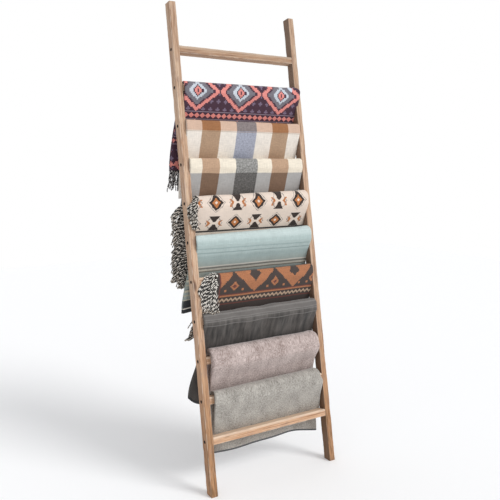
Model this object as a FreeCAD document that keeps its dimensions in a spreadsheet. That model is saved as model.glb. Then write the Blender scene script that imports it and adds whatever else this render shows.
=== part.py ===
import FreeCAD, Part
import math
import os

import Sketcher
from FreeCAD import Placement, Rotation, Vector

# A wooden blanket ladder that leans on a wall, with a folded throw over nine of its eleven rungs.
# Frame: +X to the right, +Y back to the wall, +Z up. The origin is on the floor, midway between
# the two feet. Lengths are millimetres and angles degrees.
#
# Along the ladder, "depth" runs from the front face to the back face and "rise" up the stile.

SIZES = {
    # frame
    "lean_angle": 9.8,
    "rung_count": 11,
    "rung_spacing": 181.5,
    "bottom_rung_rise": 245.0,
    "top_overhang": 226.0,
    "clear_width": 650.0,
    "stile_width": 34.0,
    "stile_depth": 45.0,
    "rung_height": 34.0,
    "edge_ease": 2.0,
    # screws
    "counterbore_diameter": 12.0,
    "counterbore_depth": 8.0,
    "head_diameter": 10.0,
    "head_height": 3.0,
    "shank_diameter": 5.0,
    "shank_length": 62.0,
    "screw_fit": 0.4,
    # cloth
    "cloth_clearance": 0.3,
    "label_width": 26.0,
    "label_height": 17.0,
    "label_thickness": 0.8,
    "label_inset": 28.0,
    "label_turn": 32.0,
    "fringe_thickness": 6.0,
}

# What most throws share, and each throw's own sizes, from the lowest throw up. rung: the rung that
# it hangs on, counted from the bottom. layer: thickness of one layer. layers: how often the cloth
# lies over itself. fold_length: length of the folded stack, hem to hem. back_drop: from the rung's
# centre down to the back hem. gap_left, gap_right: from the stiles. flare_left, flare_right: how
# far the back hem's corners swing out past the ends on the rung. hem_slope: how much lower the
# back hem's right corner is. bulge: how loosely the front hangs. folds, fold_depth: its soft
# upright folds.
SHARED = {"layers": 4, "fold_length": 762.0, "gap_left": 1.0, "gap_right": 1.0,
          "flare_left": 0.0, "flare_right": 0.0, "hem_slope": 0.0, "bulge": 3.0,
          "folds": 2, "fold_depth": 2.0}
THROWS = {
    "silver_throw": {"rung": 2, "layer": 2.1, "layers": 6, "fold_length": 508.0,
                     "back_drop": 263.0, "gap_left": 18.0, "gap_right": 16.0,
                     "flare_left": -20.0, "flare_right": 16.0, "hem_slope": 39.0,
                     "folds": 3, "fold_depth": 3.0},
    "mauve_throw": {"rung": 3, "layer": 3.1, "back_drop": 350.0, "gap_left": 25.0,
                    "gap_right": 14.0, "flare_left": 8.0, "bulge": 5.0, "fold_depth": 3.0},
    "charcoal_throw": {"rung": 4, "layer": 2.7, "back_drop": 408.0, "gap_right": 4.0,
                       "flare_left": 68.0, "flare_right": 26.0, "bulge": 2.0, "folds": 4,
                       "fold_depth": 3.5},
    "rust_throw": {"rung": 5, "layer": 2.9, "back_drop": 245.0, "gap_left": 84.0,
                   "gap_right": 3.0, "flare_left": 46.0, "flare_right": 18.0},
    "aqua_throw": {"rung": 6, "layer": 2.6, "back_drop": 325.0, "gap_left": 5.0,
                   "flare_left": 58.0, "flare_right": 26.0, "folds": 3, "fold_depth": 2.5},
    "ivory_throw": {"rung": 7, "layer": 2.9, "back_drop": 345.0, "gap_left": 36.0,
                    "flare_left": 62.0, "flare_right": 26.0, "bulge": 5.0},
    "lower_plaid_throw": {"rung": 8, "layer": 2.4, "back_drop": 350.0, "gap_right": 6.0,
                          "flare_left": 40.0, "flare_right": 26.0, "bulge": 2.0,
                          "fold_depth": 1.5},
    "upper_plaid_throw": {"rung": 9, "layer": 2.4, "back_drop": 345.0, "flare_left": 20.0,
                          "flare_right": 24.0, "bulge": 2.0, "fold_depth": 1.5},
    "plum_throw": {"rung": 10, "layer": 2.6, "back_drop": 392.0, "flare_left": 50.0,
                   "flare_right": 24.0},
}
THROW_SIZES = ("rung", "layer", "back_drop") + tuple(SHARED)

# Fringe length of the throws that have one, and the edge that it hangs from.
SIDE_FRINGES = {"ivory_throw": 80.0, "rust_throw": 82.0}
HEM_FRINGES = {"plum_throw": 95.0}


# ---------------------------------------------------------------- document and sheet

doc = FreeCAD.newDocument("blanket_ladder")
sheet = doc.addObject("Spreadsheet::Sheet", "Sizes")
cell_rows = {}


def add_cell(alias, value):
    """One named size: its name in column A, its plain number in column B."""
    row = len(cell_rows) + 1
    cell_rows[alias] = row
    sheet.set("A%d" % row, alias)
    sheet.set("B%d" % row, str(value))
    sheet.setAlias("B%d" % row, alias)


for alias, value in SIZES.items():
    add_cell(alias, value)
for throw, own in THROWS.items():
    for name in THROW_SIZES:
        add_cell(throw + "_" + name, own.get(name, SHARED.get(name)))
for throw, length in list(SIDE_FRINGES.items()) + list(HEM_FRINGES.items()):
    add_cell(throw + "_fringe", length)
doc.recompute()


def size(alias):
    return float(getattr(sheet, alias))


# ---------------------------------------------------------------- places on the ladder

LEAN = "Sizes.lean_angle"
FOOT_HALF = "Sizes.stile_depth / (2 * cos(Sizes.lean_angle))"


def bind(item, **expressions):
    """Binds properties to the sheet. Base_x stands for Placement.Base.x, and so on."""
    for name, expression in expressions.items():
        item.setExpression(name.replace("Base_", "Placement.Base."), expression)


def lean_body(body, across, depth, rise):
    """Leans a body back with the stiles and puts its origin at a place given by expressions."""
    body.Placement = Placement(Vector(0, 0, 0), Rotation(Vector(1, 0, 0), -size("lean_angle")))
    body.setExpression("Placement.Rotation.Angle", "-1 * %s" % LEAN)
    bind(
        body,
        Base_x=across,
        Base_y="(%s) * cos(%s) + (%s) * sin(%s) - %s" % (depth, LEAN, rise, LEAN, FOOT_HALF),
        Base_z="(%s) * cos(%s) - (%s) * sin(%s)" % (rise, LEAN, depth, LEAN),
    )


def rung_rise(number):
    """Rise of a rung's centre, counted from the bottom, as an expression."""
    return "Sizes.bottom_rung_rise + %d * Sizes.rung_spacing" % (number - 1)


def place(depth, rise):
    """A place on the ladder as a (Y, Z) pair."""
    lean = math.radians(size("lean_angle"))
    half = size("stile_depth") / (2 * math.cos(lean))
    return (depth * math.cos(lean) + rise * math.sin(lean) - half,
            rise * math.cos(lean) - depth * math.sin(lean))


# ---------------------------------------------------------------- sketch helpers

def origin_feature(body, role):
    return next(item for item in body.Origin.OriginFeatures if item.Role == role)


def sketch_on(body, name, role):
    sketch = body.newObject("Sketcher::SketchObject", name)
    sketch.AttachmentSupport = [(origin_feature(body, role), "")]
    sketch.MapMode = "FlatFace"
    return sketch


def closed_outline(sketch, corners):
    """A closed outline of straight lines through the corners, which constraints then size."""
    count = len(corners)
    for i in range(count):
        start = Vector(corners[i][0], corners[i][1], 0)
        end = Vector(corners[(i + 1) % count][0], corners[(i + 1) % count][1], 0)
        sketch.addGeometry(Part.LineSegment(start, end), False)
    for i in range(count):
        sketch.addConstraint(Sketcher.Constraint("Coincident", i, 2, (i + 1) % count, 1))


def size_outline(sketch, rules):
    """rules: (kind, first line, its end, second line, its end, expression)."""
    for kind, first, first_end, second, second_end, expression in rules:
        rule = Sketcher.Constraint(kind, first, first_end, second, second_end, 1.0)
        index = sketch.addConstraint(rule)
        sketch.setExpression("Constraints[%d]" % index, expression)


def level_lines(sketch, upright=(), level=()):
    for line in upright:
        sketch.addConstraint(Sketcher.Constraint("Vertical", line))
    for line in level:
        sketch.addConstraint(Sketcher.Constraint("Horizontal", line))


def circle_sketch(body, name, role, across, up, diameter):
    """A circle whose centre and diameter are bound to the sheet."""
    sketch = sketch_on(body, name, role)
    sketch.addGeometry(Part.Circle(Vector(10, 10, 0), Vector(0, 0, 1), 3), False)
    rules = [
        (Sketcher.Constraint("DistanceX", -1, 1, 0, 3, 10.0), across),
        (Sketcher.Constraint("DistanceY", -1, 1, 0, 3, 10.0), up),
        (Sketcher.Constraint("Diameter", 0, 6.0), diameter),
    ]
    for rule, expression in rules:
        index = sketch.addConstraint(rule)
        sketch.setExpression("Constraints[%d]" % index, expression)
    return sketch


def long_edges(feature, direction):
    """Names of the straight edges that run the whole way along a direction."""
    longest = max(edge.Length for edge in feature.Shape.Edges)
    names = []
    for number, edge in enumerate(feature.Shape.Edges, 1):
        run = edge.Vertexes[-1].Point - edge.Vertexes[0].Point
        if abs(run.dot(direction)) > 0.9 * longest:
            names.append("Edge%d" % number)
    return names


def ease_edges(body, pad, direction):
    doc.recompute()
    ease = body.newObject("PartDesign::Fillet", body.Name + "_ease")
    ease.Base = (pad, long_edges(pad, direction))
    ease.setExpression("Radius", "Sizes.edge_ease")
    doc.recompute()
    return ease


def checked_cut(body, cut):
    """A pocket that points away from the wood cuts nothing, so the volume is compared."""
    before = body.Shape.Volume
    doc.recompute()
    if body.Shape.Volume > before - 1.0:
        raise ValueError(cut.Name + " cuts nothing")


def repeat_up(body, features):
    """Repeats features for every rung, up the stile."""
    pattern = body.newObject("PartDesign::LinearPattern", body.Name + "_rows")
    pattern.Originals = features
    pattern.Direction = (origin_feature(body, "Z_Axis"), [""])
    pattern.setExpression("Length", "(Sizes.rung_count - 1) * Sizes.rung_spacing")
    pattern.setExpression("Occurrences", "Sizes.rung_count")
    body.Tip = pattern
    doc.recompute()


# ---------------------------------------------------------------- timber

STILE_LENGTH = ("Sizes.bottom_rung_rise + (Sizes.rung_count - 1) * Sizes.rung_spacing"
                " + Sizes.top_overhang")


def make_stile(name, side):
    """A stile: planed batten with its foot cut level, and a counterbored hole for every rung.
    Its local origin is the front corner of the foot on the outer face. side: -1 left, 1 right."""
    body = doc.addObject("PartDesign::Body", name)
    profile = sketch_on(body, name + "_side", "YZ_Plane")
    closed_outline(profile, [(0, 0), (45, 8), (45, 2000), (0, 2000)])
    level_lines(profile, upright=(1, 3), level=(2,))
    size_outline(profile, [
        ("DistanceX", -1, 1, 0, 1, "0"),
        ("DistanceY", -1, 1, 0, 1, "0"),
        ("DistanceX", 0, 1, 0, 2, "Sizes.stile_depth"),
        ("DistanceY", 0, 1, 0, 2, "Sizes.stile_depth * tan(Sizes.lean_angle)"),
        ("DistanceY", 0, 1, 2, 2, STILE_LENGTH),
    ])
    pad = body.newObject("PartDesign::Pad", name + "_batten")
    pad.Profile = profile
    pad.setExpression("Length", "Sizes.stile_width")
    pad.Reversed = side > 0
    ease_edges(body, pad, Vector(0, 0, 1))

    middle = "Sizes.stile_depth / 2"
    seat_circle = circle_sketch(body, name + "_seat_circle", "YZ_Plane", middle,
                                "Sizes.bottom_rung_rise", "Sizes.counterbore_diameter")
    seat = body.newObject("PartDesign::Pocket", name + "_seat")
    seat.Profile = seat_circle
    seat.setExpression("Length", "Sizes.counterbore_depth")
    seat.Reversed = side < 0
    checked_cut(body, seat)
    hole_circle = circle_sketch(body, name + "_hole_circle", "YZ_Plane", middle,
                                "Sizes.bottom_rung_rise",
                                "Sizes.shank_diameter + Sizes.screw_fit")
    hole = body.newObject("PartDesign::Pocket", name + "_hole")
    hole.Profile = hole_circle
    hole.setExpression("Length", "Sizes.stile_width")
    hole.Reversed = side < 0
    checked_cut(body, hole)
    repeat_up(body, [seat, hole])
    lean_body(body, "%d * (Sizes.clear_width / 2 + Sizes.stile_width)" % side, "0", "0")
    return body


PILOT_DEPTH = "Sizes.shank_length - Sizes.stile_width + Sizes.counterbore_depth + Sizes.screw_fit"


def make_rung(number):
    """A rung between the stiles, of the stiles' depth, with a pilot hole in each end.
    Its local origin is its centre."""
    name = "rung_%02d" % number
    body = doc.addObject("PartDesign::Body", name)
    profile = sketch_on(body, name + "_end", "YZ_Plane")
    closed_outline(profile, [(-20, -15), (20, -15), (20, 15), (-20, 15)])
    level_lines(profile, upright=(1, 3), level=(0, 2))
    size_outline(profile, [
        ("DistanceX", 0, 1, 0, 2, "Sizes.stile_depth"),
        ("DistanceY", 0, 2, 1, 2, "Sizes.rung_height"),
        ("DistanceX", 0, 1, -1, 1, "Sizes.stile_depth / 2"),
        ("DistanceY", 0, 1, -1, 1, "Sizes.rung_height / 2"),
    ])
    pad = body.newObject("PartDesign::Pad", name + "_batten")
    pad.Profile = profile
    pad.Midplane = True
    pad.setExpression("Length", "Sizes.clear_width")
    ease_edges(body, pad, Vector(1, 0, 0))

    circle = circle_sketch(body, name + "_pilot_circle", "YZ_Plane", "0", "0",
                           "Sizes.shank_diameter + Sizes.screw_fit")
    circle.setExpression("AttachmentOffset.Base.z", "-Sizes.clear_width / 2")
    pilot = body.newObject("PartDesign::Pocket", name + "_pilot")
    pilot.Profile = circle
    pilot.setExpression("Length", PILOT_DEPTH)
    pilot.Reversed = True
    checked_cut(body, pilot)
    mirror = body.newObject("PartDesign::Mirrored", name + "_other_pilot")
    mirror.Originals = [pilot]
    mirror.MirrorPlane = (origin_feature(body, "YZ_Plane"), [""])
    body.Tip = mirror
    doc.recompute()
    lean_body(body, "0", "Sizes.stile_depth / 2", rung_rise(number))
    return body


def make_screws(name, side):
    """One screw for each rung of a side, seated in the counterbores and driven into the rungs.
    The local origin is the outer face of the lowest screw's head."""
    body = doc.addObject("PartDesign::Body", name)
    body.AllowCompound = True
    profile = sketch_on(body, name + "_half", "XZ_Plane")
    inward = -side
    closed_outline(profile, [(0, 0), (60 * inward, 0), (60 * inward, 3), (3 * inward, 3),
                             (3 * inward, 5), (0, 5)])
    level_lines(profile, upright=(1, 3, 5), level=(0, 2, 4))
    near, far = (1, 2) if side < 0 else (2, 1)
    size_outline(profile, [
        ("DistanceX", -1, 1, 0, 1, "0"),
        ("DistanceY", -1, 1, 0, 1, "0"),
        ("DistanceX", 0, near, 0, far, "Sizes.head_height + Sizes.shank_length"),
        ("DistanceX", 4, far, 4, near, "Sizes.head_height"),
        ("DistanceY", 1, 1, 1, 2, "Sizes.shank_diameter / 2"),
        ("DistanceY", 0, 1, 5, 1, "Sizes.head_diameter / 2"),
    ])
    turned = body.newObject("PartDesign::Revolution", name + "_turned")
    turned.Profile = profile
    turned.ReferenceAxis = (profile, ["H_Axis"])
    turned.Angle = 360
    doc.recompute()
    repeat_up(body, [turned])
    seat = "Sizes.counterbore_depth - Sizes.head_height"
    across = "%d * (Sizes.clear_width / 2 + Sizes.stile_width - (%s))" % (side, seat)
    lean_body(body, across, "Sizes.stile_depth / 2", "Sizes.bottom_rung_rise")
    return body


# ---------------------------------------------------------------- throws

def turn(centre, radius, angle):
    """The point on a circle in the (Y, Z) plane, angle in radians from +Y."""
    return (centre[0] + radius * math.cos(angle), centre[1] + radius * math.sin(angle))


class Drape:
    """How one throw hangs: over its rung, down in front, back behind the next rung and whatever
    hangs on that one, and straight down at the back. Both legs hang plumb behind the ladder, each
    behind everything that hangs lower, so "rear" is handed on from throw to throw."""

    def __init__(self, throw, below, rear):
        for name in THROW_SIZES:
            setattr(self, name, size(throw + "_" + name))
        self.lean = math.radians(size("lean_angle"))
        self.clearance = size("cloth_clearance")
        self.stack = self.layer * self.layers
        self.near = size("edge_ease") + self.clearance
        rise = size("bottom_rung_rise") + (self.rung - 1) * size("rung_spacing")
        self.rise = rise
        in_top = size("rung_height") / 2 - size("edge_ease")
        in_back = size("stile_depth") - size("edge_ease")
        self.in_front = size("edge_ease")
        self.front_low = place(self.in_front, rise - in_top)
        self.top_rise = rise + in_top
        self.back_high = place(in_back, self.top_rise)
        next_high = place(in_back, self.top_rise - size("rung_spacing"))
        # the front leg passes behind the next rung, outside what is bent over it
        self.pass_radius = self.near + below + self.clearance
        self.front_face = max(next_high[0] + self.pass_radius, rear + self.clearance)
        self.pass_centre = (self.front_face - self.pass_radius, next_high[1])
        # the back leg hangs from its own rung, behind the front leg
        push = self.front_face + self.stack + self.clearance - self.back_high[0] - self.near
        self.push = max(0.0, push)
        self.back_face = self.back_high[0] + self.near + self.push
        self.rear = self.back_face + self.stack
        half = size("clear_width") / 2
        self.left = -half + self.gap_left
        self.right = half - self.gap_right
        centre_height = place(0, rise)[1]
        self.back_hem = centre_height - self.back_drop
        self.front_hem = centre_height - (self.fold_length - size("stile_depth") - self.back_drop)
        self.back_cut = self.back_high[1] - size("rung_height")

    def outline(self, across, slack, stack, legs=True):
        """The closed section at one place across the ladder, of lines and arcs. slack: how far the
        cloth stands off the rung's front. Without legs, it ends behind the next rung."""
        lean = self.lean
        loose = self.near + slack
        run = (self.pass_centre[0] - self.front_low[0], self.pass_centre[1] - self.front_low[1])
        reach = math.hypot(run[0], run[1])
        inclined = math.atan2(run[0], -run[1])
        slope = inclined + math.asin((loose + stack + self.pass_radius) / reach)
        front_high = place(self.in_front, self.top_rise - slack)
        round_back = self.near + self.push
        back_centre = (self.back_high[0], self.back_high[1] - self.push / math.cos(lean))
        low = self.front_hem if legs else self.pass_centre[1] - size("rung_height")
        forward = math.pi - lean
        upward = math.pi / 2 - lean

        def path(offset):
            """Points of one face, front hem to back cut, with the middle of each bend."""
            bend = self.pass_radius + stack - offset
            over = loose + offset
            back = round_back + offset
            face = self.pass_centre[0] + bend
            foot = turn(self.front_low, over, math.pi + slope)
            leg = [
                (face, low),
                (face, self.pass_centre[1]),
                turn(self.pass_centre, bend, slope / 2),
                turn(self.pass_centre, bend, slope),
            ]
            if low > self.pass_centre[1]:
                # too short to reach behind the next rung: it ends on the slant
                leg = [(foot[0] + (foot[1] - low) * math.tan(slope), low)]
            return leg + [
                foot,
                turn(self.front_low, over, (math.pi + slope + forward) / 2),
                turn(self.front_low, over, forward),
                turn(front_high, over, forward),
                turn(front_high, over, (forward + upward) / 2),
                turn(front_high, over, upward),
                turn(back_centre, back, upward),
                turn(back_centre, back, upward / 2),
                turn(back_centre, back, 0),
                (back_centre[0] + back, self.back_cut),
            ]

        def edges(points):
            spots = [Vector(across, y, z) for y, z in points]
            made = []
            for first in range(0, len(spots) - 1, 3):
                made.append(Part.LineSegment(spots[first], spots[first + 1]).toShape())
                if first + 3 < len(spots):
                    bent = Part.Arc(spots[first + 1], spots[first + 2], spots[first + 3])
                    made.append(bent.toShape())
            return made, spots

        inner, inner_spots = edges(path(0))
        outer, outer_spots = edges(path(stack))
        back_end = Part.LineSegment(inner_spots[-1], outer_spots[-1]).toShape()
        front_end = Part.LineSegment(outer_spots[0], inner_spots[0]).toShape()
        return Part.Wire(Part.__sortEdges__(inner + [back_end] + outer + [front_end]))

    def slack_at(self, share):
        """Slack of the front at a share of the width: soft folds, flat at both ends."""
        wave = (1 - math.cos(2 * math.pi * self.folds * share)) / 2
        return self.bulge + self.fold_depth * wave

    def over_rung(self, left, right, stack, legs=True, plain=False):
        """The cloth over the rung and down the front, as one loft across the ladder."""
        count = 2 if plain else 4 * int(self.folds) + 1
        sections = []
        for step in range(count):
            share = step / (count - 1)
            slack = self.bulge if plain else self.slack_at(share)
            sections.append(self.outline(left + (right - left) * share, slack, stack, legs))
        return Part.makeLoft(sections, True, plain)

    def plumb_slab(self, corners, thickness):
        """An upright slab behind the ladder, from its (X, Z) corners."""
        spots = [Vector(x, self.back_face, z) for x, z in corners]
        face = Part.Face(Part.makePolygon(spots + spots[:1]))
        return face.extrude(Vector(0, thickness, 0))

    def back_corners(self):
        return [
            (self.left, self.back_cut),
            (self.right, self.back_cut),
            (self.right + self.flare_right, self.back_hem - self.hem_slope),
            (self.left - self.flare_left, self.back_hem),
        ]

    def cloth(self):
        over = self.over_rung(self.left, self.right, self.stack)
        return over.fuse(self.plumb_slab(self.back_corners(), self.stack))


def make_feature(name, shape):
    feature = doc.addObject("Part::Feature", name)
    feature.Label = name
    feature.Shape = shape
    feature.Placement = Placement()
    return feature


def side_fringe(drape, length, thickness):
    """Yarn ends along a throw's left edge: in front up to the stile, behind out past it."""
    front_left = max(drape.left - length, -size("clear_width") / 2 + drape.clearance)
    front = drape.over_rung(front_left, drape.left, thickness, legs=False, plain=True)
    top_left, top_right, low_right, low_left = drape.back_corners()
    back = drape.plumb_slab([
        (top_left[0] - drape.clearance, drape.back_cut),
        low_left,
        (low_left[0] - length, low_left[1]),
        (top_left[0] - length, drape.back_cut - length / 2),
    ], thickness)
    return Part.makeCompound([front, back])


def hem_fringe(drape, length, thickness):
    """Yarn ends below a throw's back hem."""
    top_left, top_right, low_right, low_left = drape.back_corners()
    spread = (low_left[0] - top_left[0]) * length / (drape.back_cut - drape.back_hem)
    return drape.plumb_slab([
        low_left,
        low_right,
        (low_right[0], low_right[1] - length),
        (low_left[0] + spread, low_left[1] - length),
    ], thickness)


def make_label(drape):
    """A blank woven label on the rounded front of a throw, near its right end."""
    width, height = size("label_width"), size("label_height")
    across = drape.right - size("label_inset") - width / 2
    places = [across + width * step / 4 for step in range(5)]
    shares = [(x - drape.left) / (drape.right - drape.left) for x in places]
    slack = max(drape.slack_at(share) for share in shares)
    centre = place(drape.in_front, drape.top_rise - slack)
    inner = drape.near + slack + drape.stack + drape.clearance
    outer = inner + size("label_thickness")
    middle = math.pi - drape.lean - math.radians(size("label_turn"))
    half = height / (2 * inner)
    angles = (middle - half, middle, middle + half)
    low, mid, high = [Vector(across, *turn(centre, inner, angle)) for angle in angles]
    far_low, far_mid, far_high = [Vector(across, *turn(centre, outer, angle)) for angle in angles]
    outline = Part.Wire([
        Part.Arc(low, mid, high).toShape(),
        Part.LineSegment(high, far_high).toShape(),
        Part.Arc(far_high, far_mid, far_low).toShape(),
        Part.LineSegment(far_low, low).toShape(),
    ])
    return make_feature("blank_label", Part.Face(outline).extrude(Vector(width, 0, 0)))


# ---------------------------------------------------------------- the whole ladder

parts = []
for name, side in (("left_stile", -1), ("right_stile", 1)):
    parts.append(make_stile(name, side))
for number in range(1, int(size("rung_count")) + 1):
    parts.append(make_rung(number))
for name, side in (("left_screws", -1), ("right_screws", 1)):
    parts.append(make_screws(name, side))

fringe_thickness = size("fringe_thickness")
stack_on_rung = {}
rear = -math.inf
for throw in THROWS:
    rung = int(size(throw + "_rung"))
    drape = Drape(throw, stack_on_rung.get(rung - 1, 0.0), rear)
    stack_on_rung[rung] = drape.stack
    rear = drape.rear
    parts.append(make_feature(throw, drape.cloth()))
    if throw in SIDE_FRINGES:
        length = size(throw + "_fringe")
        fringe = side_fringe(drape, length, fringe_thickness)
        parts.append(make_feature(throw.replace("throw", "fringe"), fringe))
    if throw in HEM_FRINGES:
        length = size(throw + "_fringe")
        fringe = hem_fringe(drape, length, fringe_thickness)
        parts.append(make_feature(throw.replace("throw", "fringe"), fringe))
        parts.append(make_label(drape))

doc.recompute()
for item in doc.Objects:
    if "Invalid" in item.State or "Error" in item.State:
        raise ValueError(item.Name + " failed: " + str(item.State))
for item in parts:
    if item.Shape.isNull() or not item.Shape.isValid():
        raise ValueError(item.Label + " has no valid shape")

os.makedirs("parts", exist_ok=True)
for item in parts:
    item.Shape.exportStep("parts/%s.step" % item.Label)
    print("%-20s %2d solids %10.1f cm3" % (item.Label, len(item.Shape.Solids),
                                           item.Shape.Volume / 1000))
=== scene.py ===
"""A wooden blanket ladder that leans back, with a folded throw over nine of its eleven rungs.

Metres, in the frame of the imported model: +X to the right, +Y back to the wall, +Z up, with the
origin on the floor between the feet. Every throw is one real sheet of cloth, folded into plies and
draped over its rung, down the front and back behind the next rung.
"""
import math
from types import SimpleNamespace

import bpy
import numpy as np
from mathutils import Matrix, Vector, noise


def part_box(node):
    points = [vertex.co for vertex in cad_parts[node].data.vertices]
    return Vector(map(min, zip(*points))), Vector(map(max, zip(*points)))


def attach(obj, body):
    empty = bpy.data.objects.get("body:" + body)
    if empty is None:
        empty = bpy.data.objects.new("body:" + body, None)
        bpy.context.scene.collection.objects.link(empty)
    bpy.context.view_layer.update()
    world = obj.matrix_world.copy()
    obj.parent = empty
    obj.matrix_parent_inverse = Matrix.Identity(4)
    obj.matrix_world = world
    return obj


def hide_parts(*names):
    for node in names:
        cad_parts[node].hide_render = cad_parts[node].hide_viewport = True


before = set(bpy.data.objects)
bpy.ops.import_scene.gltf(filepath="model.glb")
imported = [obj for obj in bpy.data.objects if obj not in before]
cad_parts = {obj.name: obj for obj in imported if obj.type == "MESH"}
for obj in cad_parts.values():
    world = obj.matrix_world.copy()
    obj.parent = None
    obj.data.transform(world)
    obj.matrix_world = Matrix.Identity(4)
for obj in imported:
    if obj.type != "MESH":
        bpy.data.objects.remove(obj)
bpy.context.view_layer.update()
MM = 0.001


# ------------ the ladder, from the frame

def middle(node):
    low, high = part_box(node)
    return (low + high) / 2


RUNG_COUNT = sum(name.startswith("rung_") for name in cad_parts)
RISE = (middle("rung_02") - middle("rung_01")).yz
LEAN = math.atan2(RISE.x, RISE.y)
SIN, COS = math.sin(LEAN), math.cos(LEAN)
SPACING = RISE.length
INNER, OUTER = (corner.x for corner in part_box("right_stile"))
EASE = 2 * MM
# the box of a rung that leans, less what its eased edges take off, gives its depth and height
RUNG_LOW, RUNG_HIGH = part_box("rung_01")
ROUND = 2 * EASE * (COS + SIN - 1)
SPAN_Y = RUNG_HIGH.y - RUNG_LOW.y + ROUND
SPAN_Z = RUNG_HIGH.z - RUNG_LOW.z + ROUND
DEPTH = (SPAN_Y * COS - SPAN_Z * SIN) / math.cos(2 * LEAN)
HEIGHT = (SPAN_Z * COS - SPAN_Y * SIN) / math.cos(2 * LEAN)
FIRST = middle("rung_01").yz


def rung_rise(number):
    """How far up the ladder a rung's centre is from the bottom rung's."""
    return (number - 1) * SPACING


def place(depth, rise):
    """(Y, Z) of a place: depth from the ladder's front face, rise from the bottom rung's centre."""
    depth = depth - DEPTH / 2
    return FIRST.x + depth * COS + rise * SIN, FIRST.y + rise * COS - depth * SIN


def add(name, data):
    """A new object in the scene."""
    made = bpy.data.objects.new(name, data)
    bpy.context.scene.collection.objects.link(made)
    return made


def add_mesh(name, points, faces):
    data = bpy.data.meshes.new(name)
    data.from_pydata(points, [], faces)
    data.update()
    return add(name, data)


# ------------ formulas as shader nodes

def rgb(hex_code):
    """A screen colour as the linear numbers that shaders take."""
    parts = [int(hex_code[i:i + 2], 16) / 255 for i in (0, 2, 4)]
    return [p / 12.92 if p <= 0.04045 else ((p + 0.055) / 1.055) ** 2.4 for p in parts] + [1.0]


def feed(tree, slots, inputs):
    """Sets or links a node's inputs. A text is a colour."""
    for key, value in inputs.items():
        if isinstance(value, Value):
            tree.links.new(value.socket, slots[key])
        else:
            slots[key].default_value = rgb(value) if isinstance(value, str) else value


def add_node(tree, kind, inputs, output=0, **settings):
    """One output of a new shader node."""
    made = tree.nodes.new(kind)
    for key, value in settings.items():
        setattr(made, key, value)
    feed(tree, made.inputs, inputs)
    return Value(tree, made.outputs[output]) if made.outputs else None


def formula(operation):
    """A method that makes a math node of one kind."""
    def method(self, *others, **settings):
        inputs = dict(enumerate((self,) + others))
        return add_node(self.tree, "ShaderNodeMath", inputs, operation=operation, **settings)
    return method


class Value:
    """A number or colour that varies over a surface. Formulas with it become shader nodes."""

    __add__, __sub__ = formula("ADD"), formula("SUBTRACT")
    __mul__, __truediv__ = formula("MULTIPLY"), formula("DIVIDE")
    abs, floor, frac, sin = map(formula, ("ABSOLUTE", "FLOOR", "FRACT", "SINE"))
    pow, max, above, below = map(formula, ("POWER", "MAXIMUM", "GREATER_THAN", "LESS_THAN"))

    def __init__(self, tree, socket):
        self.tree, self.socket = tree, socket

    def __rsub__(self, other):
        return self * -1.0 + other

    def clip(self):
        return self.__add__(0.0, use_clamp=True)

    def step(self, low, high):
        """0 below low, 1 above high, smooth between."""
        return add_node(self.tree, "ShaderNodeMapRange",
                        {"Value": self, "From Min": low, "From Max": high}, "Result",
                        interpolation_type="SMOOTHSTEP")

    def within(self, low, high):
        return self.above(low) * self.below(high)

    def near(self, centre, half):
        return (self - centre).abs().below(half)

    def snap(self, size):
        """Rounded down to whole steps, as a woven stepped edge is."""
        return (self / size).floor() * size

    def wave(self, period):
        """A triangle wave from 0 to 1 to 0 over a period."""
        return ((self / period).frac() - 0.5).abs() * -2.0 + 1.0

    def cell(self, period, start=0.0):
        """The place within a repeat, counted from its middle."""
        return (((self - start) / period).frac() - 0.5) * period


class Surface:
    """The material of one piece: a principled shader whose inputs are set by formulas."""

    def __init__(self, name):
        self.material = bpy.data.materials.new(name)
        self.material.use_nodes = True
        self.tree = self.material.node_tree

    def node(self, kind, inputs, output=0, **settings):
        return add_node(self.tree, kind, inputs, output, **settings)

    def split(self, vector):
        return [self.node("ShaderNodeSeparateXYZ", {0: vector}, axis) for axis in range(3)]

    def place(self):
        """Object coordinates, in millimetres."""
        return [axis * 1000.0 for axis in self.split(self.node("ShaderNodeTexCoord", {}, "Object"))]

    def vector(self, x, y, z):
        return self.node("ShaderNodeCombineXYZ", {0: x, 1: y, 2: z})

    def noise(self, x, y, z, detail=2, rough=0.5):
        return self.node("ShaderNodeTexNoise", {"Vector": self.vector(x, y, z), "Scale": 1.0,
                                                "Detail": detail, "Roughness": rough}, "Fac")

    def mix(self, share, first, second, kind="MIX"):
        return self.node("ShaderNodeMix", {"Factor": share, "A": first, "B": second}, "Result",
                         data_type="RGBA", blend_type=kind)

    def paint(self, ground, *layers):
        """A ground colour with others laid over it, each by its share."""
        for share, tint in layers:
            ground = self.mix(share, ground, tint)
        return ground

    def shade(self, colour, share):
        """A colour made lighter or darker by a number."""
        grey = self.node("ShaderNodeCombineColor", {0: share, 1: share, 2: share})
        return self.mix(1.0, colour, grey, "MULTIPLY")

    def set(self, inputs):
        feed(self.tree, self.tree.nodes["Principled BSDF"].inputs, inputs)
        return self.material

    def finish(self, colour, rough, height, depth_mm, sheen=0.0, metallic=0.0):
        """The material, with its relief."""
        bump = self.node("ShaderNodeBump", {"Strength": 1.0, "Distance": depth_mm * MM,
                                            "Height": height}, "Normal")
        return self.set({"Base Color": colour, "Roughness": rough, "Normal": bump,
                         "Metallic": metallic, "Sheen Weight": sheen, "Sheen Roughness": 0.5})


# ------------ camera, light and floor

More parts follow.
